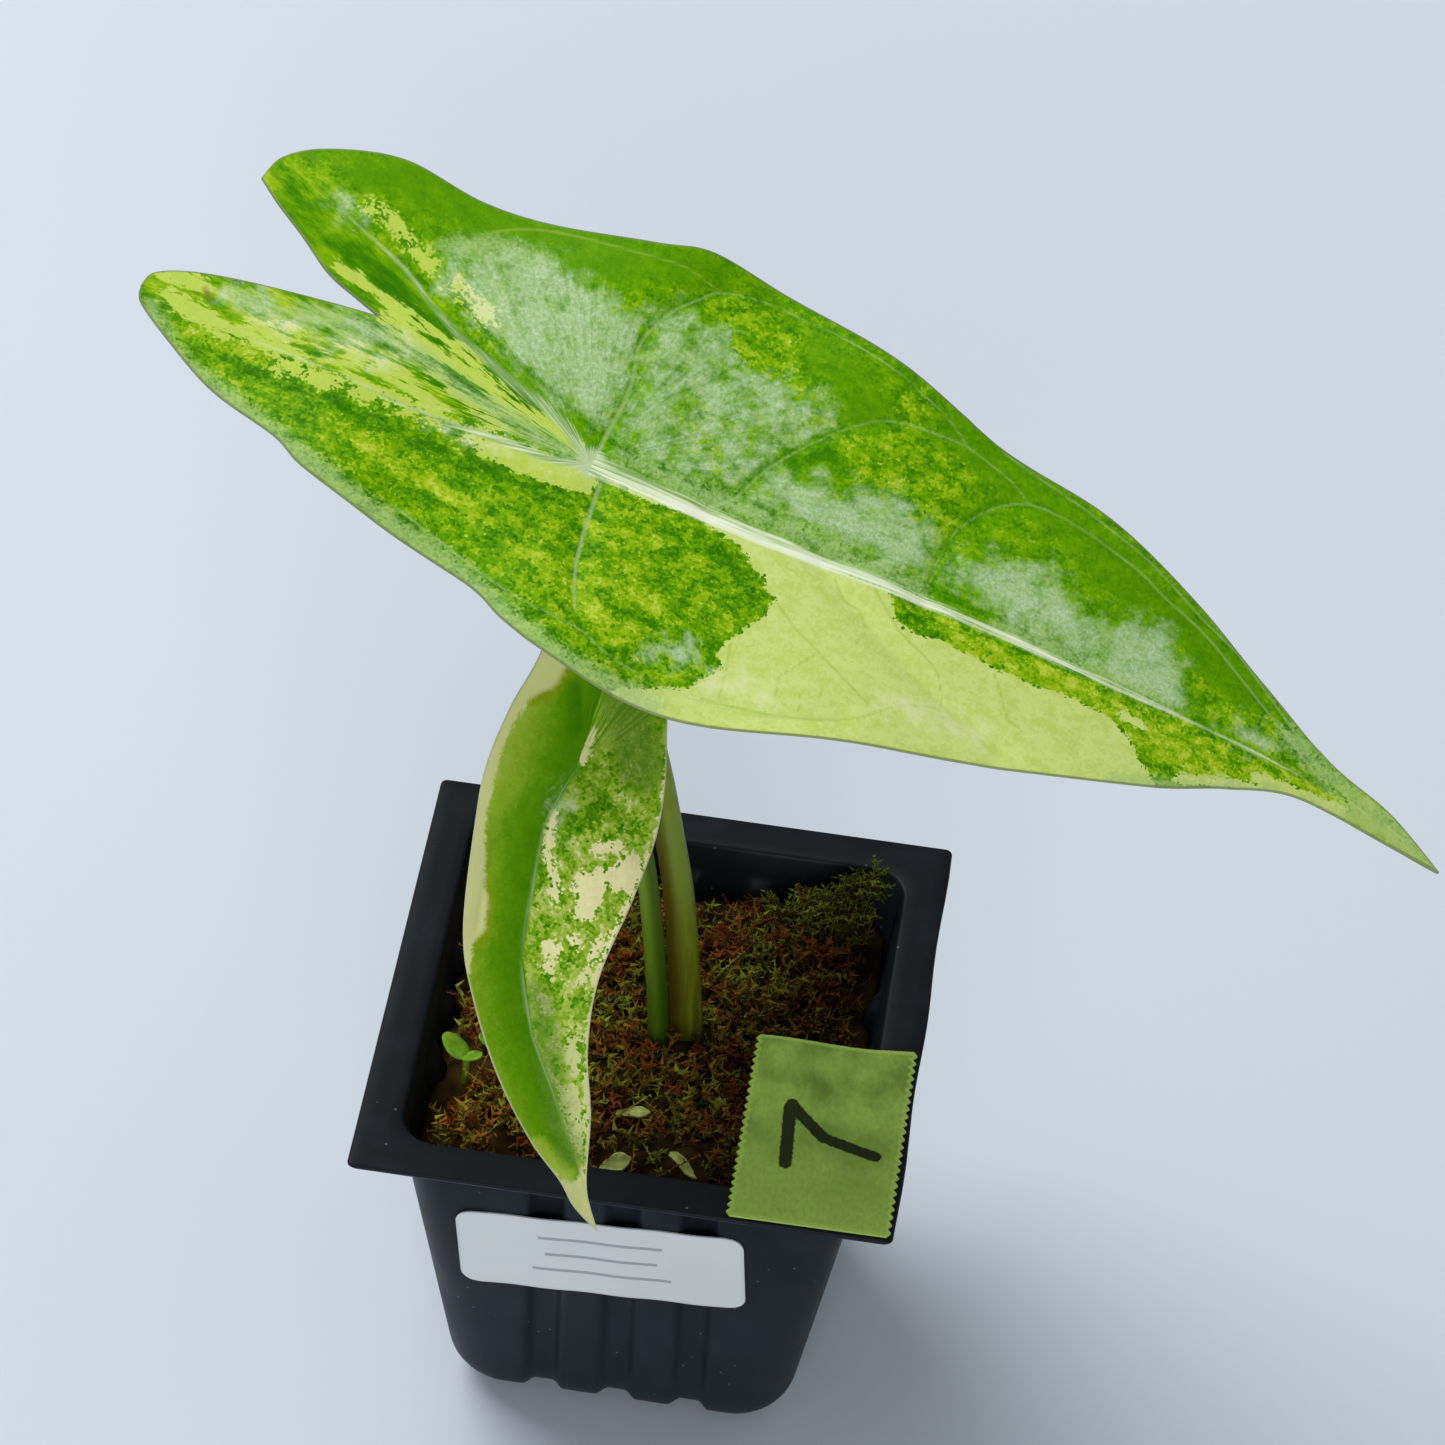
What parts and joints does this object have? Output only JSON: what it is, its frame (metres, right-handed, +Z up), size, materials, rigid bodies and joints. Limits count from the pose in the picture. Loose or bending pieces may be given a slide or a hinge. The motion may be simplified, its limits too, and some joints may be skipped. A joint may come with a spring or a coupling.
{
  "type": "potted variegated alocasia",
  "caption": "Young arrow-leaved aroid with green and cream variegated blades on slim petioles, rooted in moss in a small square fluted nursery pot.",
  "frame": {"origin": "centre of the flat underside of the pot, on the surface it stands on", "axes": "+Z up, -Y out of the wall that carries the label, +X to the right of that wall"},
  "size_m": [0.1311, 0.071, 0.1264],
  "materials": {
    "pot_plastic": "satin",
    "moss": "matte",
    "corm_bark": "matte",
    "leaf_blade": "satin",
    "petiole_skin": "satin",
    "tape_paper": "matte",
    "label_paper": "matte",
    "seedling_leaf": "satin",
    "scrap_fibre": "matte"
  },
  "bodies": {
    "root": {"pot": "pot_plastic", "moss_bed": "moss", "corm": "corm_bark", "large_leaf_petiole": "petiole_skin", "small_leaf_petiole": "petiole_skin", "large_leaf_blade": "leaf_blade", "small_leaf_blade": "leaf_blade", "tape_flag": "tape_paper", "label": "label_paper", "seedling_left": "seedling_leaf", "seedling_right": "seedling_leaf", "scrap_crescent": "scrap_fibre", "scrap_front_left": "scrap_fibre", "scrap_sliver": "scrap_fibre", "scrap_front_right": "scrap_fibre"}
  },
  "joints": []
}
